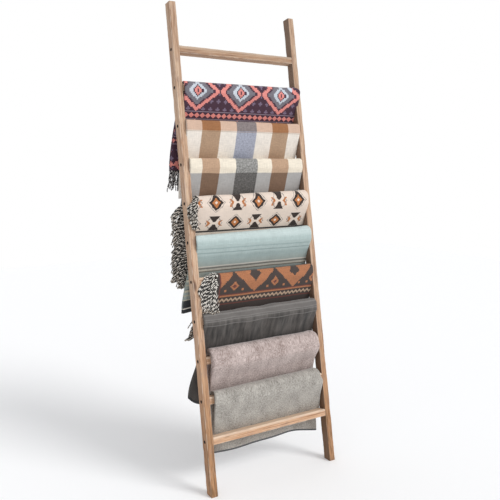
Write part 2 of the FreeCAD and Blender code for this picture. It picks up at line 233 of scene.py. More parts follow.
def make_camera():
    data = bpy.data.cameras.new("camera")
    data.sensor_width = 36
    data.lens = 45.5
    data.shift_x = 0.0268
    data.shift_y = -0.0467
    data.clip_end = 50
    yaw, pitch = 31.55, -5.6
    camera = add("camera", data)
    camera.location = (-1.6781, -2.3843, 1.4905)
    camera.rotation_euler = (math.radians(90 + pitch), 0, math.radians(-yaw))
    bpy.context.scene.camera = camera
    bpy.context.scene.view_settings.view_transform = "Standard"


def make_sun(energy, location, target, angle):
    data = bpy.data.lights.new("key", "SUN")
    data.energy = energy
    data.angle = math.radians(angle)
    light = add("key", data)
    light.location = location
    light.rotation_euler = (Vector(target) - light.location).to_track_quat("-Z", "Y").to_euler()


def make_world(strength):
    """Soft light from all sides, behind which the camera sees white."""
    world = bpy.data.worlds.new("studio")
    bpy.context.scene.world = world
    world.use_nodes = True
    tree = world.node_tree
    tree.nodes.clear()
    white, pale = (1, 1, 1, 1), (0.97, 0.98, 1.0, 1)
    seen = add_node(tree, "ShaderNodeBackground", {"Strength": 1.0, "Color": white})
    light = add_node(tree, "ShaderNodeBackground", {"Strength": strength, "Color": pale})
    camera_ray = add_node(tree, "ShaderNodeLightPath", {}, "Is Camera Ray")
    glossy_ray = add_node(tree, "ShaderNodeLightPath", {}, "Is Glossy Ray")
    both = add_node(tree, "ShaderNodeMixShader",
                    {"Fac": camera_ray.max(glossy_ray), 1: light, 2: seen})
    add_node(tree, "ShaderNodeOutputWorld", {"Surface": both})


def make_floor():
    bpy.ops.mesh.primitive_plane_add(size=14, location=(0, 0, 0))
    floor = bpy.context.object
    floor.name = "floor"
    pale = (0.96, 0.96, 0.96, 1)
    floor.data.materials.append(Surface("floor").set({"Base Color": pale, "Roughness": 0.9}))


# ------------ how a throw hangs

# segments of a throw's route: its two plumb legs, and the run over the rung's top
FRONT_LEG, TOP, BACK_LEG = 0, 6, 8
FRONT_ROW, BACK_ROW = 0.016, 0.011
CLEARANCE = 0.3 * MM
LEG_PLAY = 1.6 * MM
FOLD_REACH = 0.035
PRESSED = 0.86


class Drape:
    """The route of one throw's stack over its rung, from the front hem to the back hem. Both legs
    hang plumb behind the ladder, each behind everything that hangs lower."""

    def __init__(self, look, below, rear):
        vars(self).update(look)
        self.stack = self.layer * self.plies * 2
        self.near = EASE + CLEARANCE
        rise = rung_rise(self.rung)
        in_top = HEIGHT / 2 - EASE
        self.front_low = place(EASE, rise - in_top)
        self.top_rise = rise + in_top
        self.back_high = place(DEPTH - EASE, self.top_rise)
        next_high = place(DEPTH - EASE, self.top_rise - SPACING)
        self.pass_radius = self.near + below + CLEARANCE
        face = max(next_high[0] + self.pass_radius, rear + CLEARANCE)
        self.pass_centre = (face - self.pass_radius, next_high[1])
        self.push = max(0.0, face + self.stack + CLEARANCE - self.back_high[0] - self.near)
        self.rear = self.back_high[0] + self.near + self.push + self.stack
        height = place(0, rise)[1]
        self.back_hem = height - self.back_drop
        self.front_hem = height - (self.fold_length - DEPTH - self.back_drop)
        self.rows = self.make_rows()
        self.lengths = self.measure()

    def make_rows(self):
        """(segment, share) of each row, from the back hem over the top to the front hem."""
        back = self.back_high[1] - self.back_hem
        front = self.pass_centre[1] - self.front_hem
        counts = [max(3, int(front / FRONT_ROW)), 5, 18, 4, 4, 8, 6, 7, max(8, int(back / BACK_ROW))]
        rows = [(BACK_LEG, 1.0)]
        for segment in range(BACK_LEG, FRONT_LEG - 1, -1):
            count = counts[segment]
            rows += [(segment, 1 - step / count) for step in range(1, count + 1)]
        return rows

    def at(self, row, offset, slack):
        """((Y, Z), outward direction) of a row at an offset from the rung, as arrays. Even segments
        run straight from one stop to the next, and odd ones turn round a stop."""
        segment, share = row
        run = (self.pass_centre[0] - self.front_low[0], self.pass_centre[1] - self.front_low[1])
        reach = self.near + slack + self.stack + self.pass_radius
        slope = math.atan2(run[0], -run[1]) + np.arcsin(reach / math.hypot(*run))
        high = place(EASE, self.top_rise)
        front_high = (high[0] - slack * SIN, high[1] - slack * COS)
        back_centre = (self.back_high[0], self.back_high[1] - self.push / COS)
        bend = self.pass_radius + self.stack - offset
        over = self.near + slack + offset
        back = self.near + self.push + offset
        forward = math.pi - LEAN
        upward = math.pi / 2 - LEAN
        zero = np.zeros_like(slack)
        stops = (((self.pass_centre[0] + bend, self.front_hem), zero, zero, zero, math.pi),
                 (self.pass_centre, bend, zero, slope, math.pi),
                 (self.front_low, over, math.pi + slope, forward, 0.0),
                 (front_high, over, forward, upward, 0.0),
                 (back_centre, back, upward, zero, 0.0),
                 ((back_centre[0] + back, self.back_hem), zero, zero, zero, 0.0))

        def on(stop, turned):
            (y, z), radius, start, end, flip = stops[stop]
            angle = start + (end - start) * turned
            return (y + radius * np.cos(angle), z + radius * np.sin(angle)), angle + flip

        if segment % 2:
            return on((segment + 1) // 2, share)
        first, outward = on(segment // 2, 1.0)
        second, _ = on(segment // 2 + 1, 0.0)
        return tuple(a + (b - a) * share for a, b in zip(first, second)), outward

    def measure(self):
        """Path length of each row from the middle of the rung's top: back below 0, front above."""
        offset, slack = np.array([self.stack * 0.5]), np.array([self.bulge])
        spots = np.array([self.at(row, offset, slack)[0] for row in self.rows])[:, :, 0]
        steps = np.linalg.norm(np.diff(spots, axis=0), axis=1)
        run = [0.0] + np.cumsum(steps).tolist()
        tops = [i for i, row in enumerate(self.rows) if row[0] == TOP]
        return [value - run[tops[len(tops) // 2]] for value in run]

    def find_marks(self):
        """Path lengths of the back hem, the rung's back, top and front, its foot, the tuck and the
        front hem."""
        ends = dict(zip((row[0] for row in self.rows), self.lengths))
        return (self.lengths[0], ends[BACK_LEG], 0.0, ends[5], ends[4], ends[2], self.lengths[-1])

    def row_at(self, length):
        """The row at a path length, between the rows of the mesh."""
        spot = min(max(length, self.lengths[0]), self.lengths[-1])
        index = max(i for i, value in enumerate(self.lengths[:-1]) if value <= spot)
        first, second = self.rows[index], self.rows[index + 1]
        share = (spot - self.lengths[index]) / (self.lengths[index + 1] - self.lengths[index])
        if first[0] != second[0]:
            first = (second[0], 1.0)
        return (second[0], first[1] + (second[1] - first[1]) * share)


def smooth(share):
    share = min(1.0, max(0.0, share))
    return share * share * (3 - 2 * share)


def through(marks, spot):
    """A smooth line through (place, value) marks."""
    if spot <= marks[0][0]:
        return marks[0][1]
    for (a, first), (b, second) in zip(marks, marks[1:]):
        if spot <= b:
            return first + (second - first) * smooth((spot - a) / (b - a))
    return marks[-1][1]


def across(x):
    """The share of the clear width at an x."""
    return (x + INNER) / (2 * INNER)


def drift(x, y, z=0):
    """A soft random wander, the same at each run."""
    return noise.noise(Vector((x, y, z)))


class Throw(Drape):
    """One sheet of cloth, folded in half at its right end and into plies at its hems."""

    def __init__(self, look, below, rear):
        super().__init__(look, below, rear)
        self.marks = self.find_marks()
        self.left_line = self.line(self.left_shifts)
        self.right_line = self.line(self.right_shifts)
        self.reference = self.left(0.0)
        _, back, top, front, low, tuck, _ = self.marks
        self.loft_line = [(back, 0.0), (top, 1.0), (front, 1.0), (low, 0.8),
                          (low + (tuck - low) * 0.6, 0.0)]

    def line(self, shifts):
        marks = [(mark, shift * MM) for mark, shift in zip(self.marks, shifts)]
        if self.flare_from:
            (hem, _), (back, shift) = marks[:2]
            marks.insert(1, (back + (hem - back) * self.flare_from, shift))
        return marks

    def left(self, length):
        return through(self.left_line, length) - INNER + self.gap_left

    def right(self, length):
        return through(self.right_line, length) + INNER - self.gap_right

    def spread(self, xs, length, right):
        """How far apart the layers lie: a round fold at the right end, and a loft over the rung."""
        low, high = self.loft
        loft = (low + (high - low) * across(xs)) * MM / self.stack
        fold = self.puff * np.exp(-((right - xs) / FOLD_REACH) ** 2)
        return 1 + fold + loft * through(self.loft_line, length)

    def slack(self, x):
        """How far the front stands off the rung."""
        share = across(x)
        wave = (1 - math.cos(2 * math.pi * self.folds * share)) / 2
        wander = drift(share * 4 + self.seed, self.seed * 1.7) * self.wander
        return max(0.0, self.bulge + self.fold_depth * wave + wander)

    def ripple(self, x, length):
        """Outward movement of all layers from soft folds and small creases."""
        seed = self.seed
        _, back, _, front, low, tuck, _ = self.marks
        if length < back or length > tuck:
            run = back - length if length < back else length - tuck
            wave = drift(x * 9 + seed, length * 1.5, seed)
            return -LEG_PLAY * smooth(run / 0.08) * (0.5 + 0.5 * wave)
        pitch_x, pitch_run, depth = self.soft
        soft = drift(x * pitch_x + seed, length * pitch_run, seed)
        small = drift(x * 28 + length * 9 + seed * 3, length * 12, seed)
        if length < low:
            rise = smooth((length - back) / 0.03)
            return rise * (depth * (0.35 + 0.35 * soft) + self.small * (0.3 + small / 2)) * MM
        share = (length - low) / (tuck - low)
        calm = smooth((1 - share) * 2.6)
        lift = depth * 0.35 * (1 - smooth(share * 3))
        return calm * (lift + depth * soft * smooth(0.35 + share * 2) + self.small * small) * MM

    def locate(self, row, length, columns, radius, stagger=None):
        """(points, us, spreads) of one row of a layer. columns: the share of the width of each, and
        its angle round the fold at the right end."""
        share, turned = columns
        centre = self.plies * self.layer
        end = self.end * radius / centre
        left, right = self.left(length), self.right(length) - end
        left += stagger(length) if stagger else 0.0
        flat = left + (right - left) * share
        xs = flat + end * np.sin(turned)
        round_end = math.sqrt((end * end + radius * radius) / 2)
        us = right - self.reference + round_end * turned + (flat - right) * np.cos(turned)
        spreads = self.spread(xs, length, right + end)
        offsets = spreads * (centre + radius * np.cos(turned))
        slacks = np.array([self.slack(x) for x in xs])
        moves = np.array([self.ripple(x, length) for x in xs])
        (ys, zs), angles = self.at(row, offsets, slacks)
        ys = ys + np.cos(angles) * moves
        zs = zs + np.sin(angles) * moves + self.hem_shift(row, xs)
        return np.stack([xs, ys, zs], axis=1), us, spreads

    def hem_shift(self, row, xs):
        """How much the back hem dips, by its slope and waves, fading up the leg."""
        if row[0] != BACK_LEG:
            return np.zeros(len(xs))
        share = across(xs)
        wave = np.sin(2 * math.pi * (share * self.hem_turns + 0.1 * self.seed))
        lift, reach = self.corner
        near = np.clip(1 - (xs - xs.min()) / (reach * MM), 0, 1)
        height, centre, width = self.hem_bump
        bump = height * np.exp(-((share - centre) / width) ** 2)
        rise = self.hem_wave * wave - self.hem_slope * share + lift * near ** 2 + bump
        return smooth(row[1]) * rise * MM

    def surface(self, x, length, lift):
        """The place on the outside at an x and a path length, lifted off the cloth."""
        share = (x - self.left(length)) / (self.right(length) - self.left(length))
        radius = (self.plies - 0.5) * self.layer + lift
        column = (np.array([share]), np.zeros(1))
        return self.locate(self.row_at(length), length, column, radius)[0][0]

    def route(self):
        """(row, ply, radius, drop) along the whole length of the sheet."""
        plies, layer = self.plies, self.layer
        count = len(self.rows)
        steps = []
        for ply in range(plies):
            order = range(count) if ply % 2 == 0 else range(count - 1, -1, -1)
            radius = (plies - ply - 0.5) * layer
            picked = [i for i in order if ply == 0 or i % 2 == 0 or i == count - 1]
            if ply and picked[-1] == 0:
                picked.pop()
            steps += [(index, ply, radius, 0.0) for index in picked]
            if ply < plies - 1:
                for step in (1, 2, 3):
                    angle = math.pi * step / 4
                    mean = radius - layer / 2 * (1 - math.cos(angle))
                    steps.append((picked[-1], ply, mean, math.sin(angle) * layer / 2))
        return steps

    def build(self):
        """The sheet, row by row along its length, each row across both layers of a ply."""
        outer, turns, inner = 76, 9, 40
        shares = [np.arange(outer + 1) / outer, np.ones(turns - 1), 1 - np.arange(inner + 1) / inner]
        angles = [np.zeros(outer + 1), np.arange(1, turns) / turns, np.ones(inner + 1)]
        columns = (np.concatenate(shares), np.concatenate(angles) * math.pi)
        cut = outer + turns
        grid, uvs, swell = [], [], []
        along, last, top = 0.0, None, None
        for index, ply, radius, drop in self.route():
            row, length = self.rows[index], self.lengths[index]
            here = Vector((length, drop, radius))
            along += (here - last).length if last is not None else 0.0
            last = here
            if top is None and length >= 0:
                top = along
            points, us, spreads = self.locate(row, length, columns, radius, self.stagger(ply, 0))
            below, below_us, _ = self.locate(row, length, columns, radius, self.stagger(ply, 1))
            points[cut:], us[cut:] = below[cut:], below_us[cut:]
            points[:, 2] -= drop if row[0] in (FRONT_LEG, BACK_LEG) else 0.0
            grid.append(points)
            uvs.append(np.stack([us, np.full(len(us), along)], axis=1))
            swell.append(spreads)
        self.grid = np.array(grid)
        uvs = np.array(uvs)
        uvs[:, :, 1] -= top
        thickness = np.array(swell) * self.layer * PRESSED
        return grid_mesh(self.name + "_cloth", self.grid, uvs, thickness)

    def stagger(self, ply, half):
        """How the left edge of a layer lies beside the outermost one."""
        if ply == 0 and half == 0:
            return lambda length: self.wobble * (0.5 + drift(length * 7, self.seed)) * MM
        shift = 2.0 + 5.0 * (math.sin(self.seed * 7 + ply * 2.3 + half * 1.9) ** 2)
        return lambda length: (shift + 3 * drift(length * 6, self.seed, ply + half)) * MM


def grid_mesh(name, grid, uvs, thickness):
    """A sheet through a grid of points, with its cloth coordinates and its thickness at each."""
    rows, cols = grid.shape[:2]
    corner = np.arange(rows * cols).reshape(rows, cols)
    faces = np.stack([corner[:-1, :-1], corner[:-1, 1:], corner[1:, 1:], corner[1:, :-1]], axis=-1)
    piece = cloth_mesh(name, grid, faces.reshape(-1, 4).tolist(), uvs)
    most = float(thickness.max())
    group = piece.vertex_groups.new(name="thickness")
    for index, share in enumerate((thickness / most).ravel().tolist()):
        group.add((index,), share, "REPLACE")
    solid = piece.modifiers.new("thickness", "SOLIDIFY")
    solid.vertex_group = group.name
    solid.thickness = most
    solid.offset = 0.0
    solid.use_even_offset = False
    return piece


def cloth_mesh(name, points, faces, uvs):
    """A smooth mesh with its cloth coordinates."""
    piece = add_mesh(name, points.reshape(-1, 3).tolist(), faces)
    layer = piece.data.uv_layers.new(name="cloth")
    loops = np.empty(len(piece.data.loops), np.int32)
    piece.data.loops.foreach_get("vertex_index", loops)
    layer.data.foreach_set("uv", uvs.reshape(-1, 2)[loops].astype(np.float32).ravel())
    piece.data.shade_smooth()
    return piece


# ------------ fringes: yarn that hangs

class Prism:
    """A solid with one outline in (Y, Z) between two X, that hanging yarn stays out of."""

    def __init__(self, outline, x_low, x_high):
        self.outline = np.array(outline)
        self.x_low, self.x_high = x_low, x_high

    def push_out(self, points, gap):
        """Moves points that are in the solid, or nearer than a gap, by the shortest way out."""
        flat = points.reshape(-1, 3)
        near = (flat[:, 0] > self.x_low - gap) & (flat[:, 0] < self.x_high + gap)
        if not near.any():
            return
        spots = flat[near]
        x, y, z = spots[:, 0], spots[:, 1:2], spots[:, 2:]
        start, end = self.outline, np.roll(self.outline, -1, axis=0)
        run = end - start
        offset = spots[:, None, 1:] - start
        share = ((offset * run).sum(-1) / (run * run).sum(-1)).clip(0, 1)
        away = spots[:, None, 1:] - (start + share[..., None] * run)
        distance = np.linalg.norm(away, axis=-1)
        pick = distance.argmin(axis=1)
        rows = np.arange(len(spots))
        crosses = (start[:, 1] > z) != (end[:, 1] > z)
        steep = np.where(run[:, 1] == 0, 1e-9, run[:, 1])
        meet = start[:, 0] + (z - start[:, 1]) * run[:, 0] / steep
        inside = (crosses & (y < meet)).sum(axis=1) % 2 == 1
        depth = distance[rows, pick]
        signed = np.where(inside, -depth, depth)
        unit = away[rows, pick] / np.maximum(depth, 1e-9)[:, None]
        unit = np.where(inside[:, None], -unit, unit)
        left, right = x - self.x_low + gap, self.x_high + gap - x
        hit = signed < gap
        sideways = hit & (np.minimum(left, right) < gap - signed)
        outward = hit & ~sideways
        spots[sideways, 0] += np.where(left < right, -left, right)[sideways]
        spots[outward, 1:] += ((gap - signed)[:, None] * unit)[outward]
        flat[near] = spots


def settle(spots, lengths, solids, weight=0.12 * MM, gap=2.6 * MM):
    """Strands of yarn from their drawn courses: each keeps its length, sags, and lies on what it
    meets."""
    steps, passes, drag, stiffness = 40, 4, 0.8, 0.3
    count = spots.shape[1]
    segment = (lengths / (count - 1))[:, None]
    roots, heads = spots[:, 0].copy(), spots[:, 1] - spots[:, 0]
    heads /= np.linalg.norm(heads, axis=1, keepdims=True)
    before = spots.copy()
    for _ in range(steps):
        moved = (spots - before) * drag
        before = spots.copy()
        spots = spots + moved
        spots[:, :, 2] -= weight
        for _ in range(passes):
            spots[:, 0] = roots
            spots[:, 1] = roots + heads * segment
            for i in range(1, count - 1):
                run = spots[:, i + 1] - spots[:, i]
                size = np.linalg.norm(run, axis=1, keepdims=True)
                mend = run * (1 - segment / size)
                share = 0.0 if i == 1 else 0.5
                spots[:, i] += mend * share
                spots[:, i + 1] -= mend * (1 - share)
            for i in range(count - 2):
                run = spots[:, i + 2] - spots[:, i]
                size = np.linalg.norm(run, axis=1, keepdims=True)
                spots[:, i + 2] -= run * np.minimum(0, 1 - segment * 1.9 / size) * stiffness
        for solid in solids:
            solid.push_out(spots, gap)
    spots[:, 0] = roots
    return spots


def through_points(paths, split):
    """A smooth course through the points of each strand, with more points on it."""
    first, last = 2 * paths[:, :1] - paths[:, 1:2], 2 * paths[:, -1:] - paths[:, -2:-1]
    ends = np.concatenate([first, paths, last], axis=1)
    a, b, c, d = ends[:, :-3], ends[:, 1:-2], ends[:, 2:-1], ends[:, 3:]
    fine = np.empty((len(paths), split * (paths.shape[1] - 1) + 1, 3))
    for step in range(split):
        t = step / split
        fine[:, step:-1:split] = b + 0.5 * ((c - a) * t + (2 * a - 5 * b + 4 * c - d) * t ** 2
                                            + (3 * b - a - 3 * c + d) * t ** 3)
    fine[:, -1] = paths[:, -1]
    return fine


def yarn(name, paths, thick, seed):
    """Two-ply cords along paths, knotted at the root, that end in a loose brush."""
    sides, pitch, curl_size = 6, 21 * MM, 2.0 * MM
    rng = np.random.default_rng(seed)
    spots = through_points(paths, 3)
    strands, count = spots.shape[:2]
    share = np.linspace(0, 1, count)
    phase = rng.uniform(0, 2 * math.pi, (strands, 2))
    curl = np.minimum(share * 2, 1)[None] * curl_size
    spots[:, :, 0] += curl * np.sin(share * 13 + phase[:, :1])
    spots[:, :, 1] += curl * np.sin(share * 11 + phase[:, 1:])
    profile = np.interp(share, [0, 0.04, 0.1, 0.8, 0.84, 0.88, 0.95, 1.0],
                        [1.2, 1.3, 1.0, 1.0, 1.25, 0.9, 1.1, 0.5])
    tangent = np.gradient(spots, axis=1)
    step = np.linalg.norm(tangent, axis=2, keepdims=True)
    tangent /= step
    first = np.cross(tangent, [0.15, 1.0, 0.1])
    first /= np.linalg.norm(first, axis=2, keepdims=True)
    second = np.cross(tangent, first)
    around = np.arange(sides) * 2 * math.pi / sides
    lobe = 1 / np.sqrt(np.cos(around) ** 2 + (np.sin(around) / 0.62) ** 2)
    twist = np.cumsum(step[:, :, 0], axis=1) * 2 * math.pi / pitch + phase[:, :1]
    angle = around[None, None] + twist[:, :, None]
    size = thick * profile[None] * rng.uniform(0.85, 1.15, (strands, 1))
    ring = first[:, :, None] * np.cos(angle)[..., None] + second[:, :, None] * np.sin(angle)[..., None]
    points = spots[:, :, None] + ring * (size[:, :, None] * lobe)[..., None]
    corner = np.arange(strands * count * sides).reshape(strands, count, sides)
    after = np.roll(corner, -1, axis=2)
    quads = np.stack([corner[:, :-1], after[:, :-1], after[:, 1:], corner[:, 1:]], axis=-1)
    faces = quads.reshape(-1, 4).tolist() + corner[:, 0, ::-1].tolist() + corner[:, -1].tolist()
    along = np.broadcast_to(share[None, :, None], (strands, count, sides))
    ply = np.broadcast_to(0.5 + 0.49 * np.cos(around), along.shape)
    ids = np.broadcast_to(np.arange(strands)[:, None, None], along.shape)
    return cloth_mesh(name, points, faces, np.stack([ids + ply, along], axis=-1))


def beam_outline(rise_low, rise_high):
    return [place(depth, rise) for depth, rise in ((0, rise_low), (DEPTH, rise_low),
                                                   (DEPTH, rise_high), (0, rise_high))]


def drape_outline(throw):
    """The (Y, Z) outline of a throw with the rung inside it."""
    slack = np.array([throw.bulge + throw.fold_depth])
    offset = np.array([throw.stack + throw.soft[2] * 0.4 * MM])
    return np.array([throw.at(row, offset, slack)[0] for row in throw.rows[::2]])[:, :, 0]


def solids_near(throw, others):
    """What the yarn of a throw can lie on: the left stile, two rungs and the throws on them."""
    rungs = (throw.rung, throw.rung - 1)
    past_end = 0.3
    solids = [Prism(beam_outline(-past_end, rung_rise(RUNG_COUNT) + past_end), -OUTER, -INNER)]
    for rung in rungs:
        outline = beam_outline(rung_rise(rung) - HEIGHT / 2, rung_rise(rung) + HEIGHT / 2)
        solids.append(Prism(outline, -INNER, INNER))
    return solids + [Prism(drape_outline(other), other.left(0) + 3 * MM, other.right(0))
                     for other in others if other.rung in rungs]


def edge_roots(edges, pitch, values=None):
    """Evenly spaced places along edges of cloth, and a value there."""
    spots, found = [], []
    for number, edge in enumerate(edges):
        run = np.concatenate([[0], np.cumsum(np.linalg.norm(np.diff(edge, axis=0), axis=1))])
        marks = np.arange(pitch * (0.3 + number / 2), run[-1], pitch)
        spots.append(np.stack([np.interp(marks, run, edge[:, axis]) for axis in range(3)], axis=1))
        found.append(np.interp(marks, run, run if values is None else values))
    return np.concatenate(spots), np.concatenate(found)


CORD_POINTS = 13
SHORTEST_CORD = 30 * MM
BESIDE_BOARD = 7 * MM


def side_fringe(name, throw, others, look):
    """Yarn ends along both layers of a throw's left edge. They leave to the left, fall over in
    front of the ladder or behind it, and hang on what is below. look: least and greatest reach to
    the left of the cords on top of the rung, of the lowest in front, and of those at the rung and at
    the hem behind; lengths in front and behind; how high the tips in front stay over the next rung
    and those behind below the hem; how much the ends of those on top close in again."""
    rng = np.random.default_rng(throw.rung)
    hem_mark, back, _, top, _, tuck, end = throw.marks
    lengths = np.array([throw.lengths[index] for index, *_ in throw.route()])
    roots, along = edge_roots((throw.grid[:, 0], throw.grid[:, -1]), look.pitch * MM, lengths)
    tail = along > tuck
    front = (along > back + 4 * MM) & ~tail
    foot = ((along - top) / (tuck - top)).clip(0, 1)
    leg = np.where(tail, (along - tuck) / (end - tuck), (along - back) / (hem_mark - back)).clip(0, 1)
    least, most = [np.where(front, high + (low - high) * foot, rear + (hem - rear) * leg) * MM
                   for high, low, rear, hem in zip(look.top, look.low, look.rear, look.hem)]
    reach = least + (most - least) * rng.uniform(size=len(roots)) ** 0.8
    size = (np.where(front, *look.length) + rng.normal(0, 7, len(roots))) * MM
    drop = np.sqrt(np.maximum(size ** 2 - reach ** 2, (20 * MM) ** 2))
    next_top = place(0, rung_rise(throw.rung - 1) + HEIGHT / 2)[1]
    hem = np.where(tail, roots[:, 2][tail].min(), throw.back_hem)
    lowest = np.where(front, next_top + look.tips[0] * MM, hem - look.tips[1] * MM)
    drop = np.minimum(drop, roots[:, 2] - lowest)
    keep = (abs(along - tuck - 0.01) > 0.03) & (drop > SHORTEST_CORD)
    roots, along, front = roots[keep], along[keep], front[keep]
    reach, drop, leg = reach[keep], drop[keep], leg[keep]
    roots = roots + rng.normal(0, 0.5 * MM, roots.shape) + [1.5 * MM, 0, 0]
    bias = rng.uniform(2, 16, len(roots)) * MM
    on_top = front & (along < top)

    def choose(for_top, for_front, for_rear):
        return np.where(on_top, for_top, np.where(front, for_front, for_rear))[:, None]

    share = np.linspace(0, 1, CORD_POINTS)[None]
    bend = choose(2.8, 2.8, 0.9)
    close = choose(look.close, 0, 0) * np.clip(share * 2 - 1, 0, 1) ** 2
    course = (1 - np.exp(-bend * share)) / (1 - np.exp(-bend)) - close
    lift = choose(7 * MM, 0, 0) * np.sin(np.clip(share * 3, 0, 1) * math.pi)
    fall = share ** choose(look.arch, 1.5, 2.1 - 0.85 * leg)
    rise = (roots[:, 2] - FIRST.y) / COS
    face, rear = (np.array([place(depth, value)[0] for value in rise])
                  for depth in (-BESIDE_BOARD, DEPTH + BESIDE_BOARD))
    goal = np.where(front, np.minimum(roots[:, 1], face) - bias, np.maximum(roots[:, 1], rear) + bias)
    swing = 1 - (1 - np.clip(share * choose(3.0, 1.4, 1.4), 0, 1)) ** 2
    spots = np.stack([roots[:, :1] - reach[:, None] * course,
                      roots[:, 1:2] + (goal - roots[:, 1])[:, None] * swing,
                      roots[:, 2:] - drop[:, None] * fall + lift], axis=2)
    size = np.linalg.norm(np.diff(spots, axis=1), axis=2).sum(axis=1)
    spots = settle(spots, size, solids_near(throw, others), weight=0.07 * MM, gap=look.thick * MM)
    return yarn(name, spots, look.thick * MM, throw.rung)


def hem_fringe(name, throw, look):
    """Yarn ends along both ends of the cloth, below the back hem."""
    rng = np.random.default_rng(throw.rung + 50)
    roots, _ = edge_roots((throw.grid[0], throw.grid[-1]), look.pitch * MM)
    roots[:, 2] += 1.5 * MM
    count = len(roots)
    lengths = rng.normal(look.length, 5, count) * MM
    lean = [rng.normal(-0.1, 0.16, count), rng.normal(0, 0.05, count), np.full(count, -1.0)]
    lean = np.stack(lean, axis=1)
    share = np.linspace(0, 1, CORD_POINTS)[None, :, None]
    spots = roots[:, None] + lean[:, None] * lengths[:, None, None] * share
    return yarn(name, settle(spots, lengths, []), look.thick * MM, throw.rung)


def sewn_label(throw):
    """The blank woven tag, laid on the cloth where the model has it."""
    centre = middle("blank_label")
    lengths = np.linspace(throw.marks[1], throw.marks[5], 300)
    far = [(Vector(throw.surface(centre.x, length, 0)) - centre).length for length in lengths]
    middle_length = lengths[int(np.argmin(far))]
    wide, tall, turn = 26 * MM, 17 * MM, math.radians(-33)
    rows, columns = np.linspace(-0.5, 0.5, 9), np.linspace(-0.5, 0.5, 13)
    grid, uvs = [], []
    for down in rows * tall:
        for right in columns * wide:
            x = right * math.cos(turn) + down * math.sin(turn)
            length = down * math.cos(turn) - right * math.sin(turn)
            grid.append(throw.surface(centre.x + x, middle_length + length, 1.4 * MM))
            uvs.append((right, down))
    shape = (len(rows), len(columns))
    thickness = np.full(shape, 0.7 * MM)
    return grid_mesh("label_tag", np.array(grid).reshape(*shape, 3), np.array(uvs), thickness)


# ------------ the cloths' looks

class Cloth(Surface):
    """The look of a cloth. u runs across the flat sheet and v along it, in millimetres."""

    def __init__(self, name, scale=1000.0, hem=0.0):
        super().__init__(name)
        self.hem = hem
        u, v, _ = self.split(self.node("ShaderNodeUVMap", {}, "UV", uv_map="cloth"))
        self.u, self.v = u * scale, v * scale

    def grain(self, along_u, along_v, seed, detail=2, rough=0.5):
        """Noise with its own scale across and along the sheet."""
        return self.noise(self.u * along_u, self.v * along_v, seed, detail, rough)

    def woven(self, colour, seed, slub=0.24, thread=2.2, depth=0.25, crease=0.0, sheen=0.1,
              tweed=None):
        """Yarn that varies along warp and weft, over and under each other, with soft creases."""
        warp = self.grain(0.4, 0.03, seed, 3)
        weft = self.grain(0.03, 0.4, seed + 5, 3)
        worn = self.grain(0.02, 0.02, seed + 9)
        light = (warp + weft - 1.0) * (2 * slub) + (worn - 0.5) * 0.16 + 1.0
        if tweed:
            light = light * ((self.grain(0.12, 0.12, seed, 4) - 0.5) * 2.2 * tweed + 1.0)
        turn = math.pi / thread
        height = (self.u * turn).sin() * (self.v * turn).sin() * 0.4 + warp + weft
        if crease:
            fold = self.grain(0.045, 0.014, seed + 3)
            cross = self.grain(0.016, 0.05, seed + 4)
            height = height + (fold * 2.2 + cross) * crease
        return self.finish(self.shade(colour, light), 0.92, height, depth, sheen)


def plush_cloth(cloth, dark, light, seed, hem_width):
    """A dense heathered pile: two tones of fibre in tufts, brushed a little this way and that."""
    edge = (cloth.v + cloth.hem * 1000).abs().below(hem_width)
    swerve = cloth.grain(0.02, 0.02, seed) * 6.0
    tuft = cloth.noise(cloth.u * 0.17 + swerve, cloth.v * 0.14, seed, 4, 0.75)
    brush = cloth.grain(0.02, 0.012, seed + 2, 3)
    pile = cloth.grain(0.6, 0.6, seed + 7, 4, 0.75)
    tone = (tuft - 0.5) * 2.8 + (brush - 0.5) * 1.0 + (pile - 0.5) * 0.8 + 0.5
    tones = [cloth.mix(edge, tint, "3A3C40") for tint in (dark, light)]
    return cloth.finish(cloth.mix(tone.clip(), *tones), 0.95, tuft * 1.6 + pile * 0.6 + brush, 1.0, 0.3)


def plum_cloth(cloth):
    """Aubergine with a lattice of small crosses, large stepped lozenges and a row of diamonds."""
    u, v, step, coral = cloth.u, cloth.v, 7.0, "DE8A82"
    across_u = (u.snap(step) + step / 2).cell(238, -52)
    down = (v.snap(step) + step / 2).cell(232, -60)
    reach = across_u.abs() * 0.8 + down.abs()
    plus_u, plus_v = u.cell(40, 4).abs(), v.cell(40, 2).abs()
    plus = (plus_u.below(4) * plus_v.below(11) + plus_v.below(4) * plus_u.below(11)).clip()
    edge = v.cell(232, -60 + 116).abs()
    plus = plus * reach.above(104) * edge.above(24)
    beads = (u.cell(30).abs() * 0.85 + edge).below(13)
    colour = cloth.paint("422838", (plus, "75657A"), (reach.within(76, 97), coral),
                         (reach.within(42, 66), "726E76"), (reach.within(26, 42), "C3CAD2"),
                         (reach.within(8, 18), coral), (beads, coral), (edge.near(18, 1.8), "8C7E8C"))
    return cloth.woven(colour, 2.0, slub=0.26, thread=2.8, depth=0.3, crease=0.6)


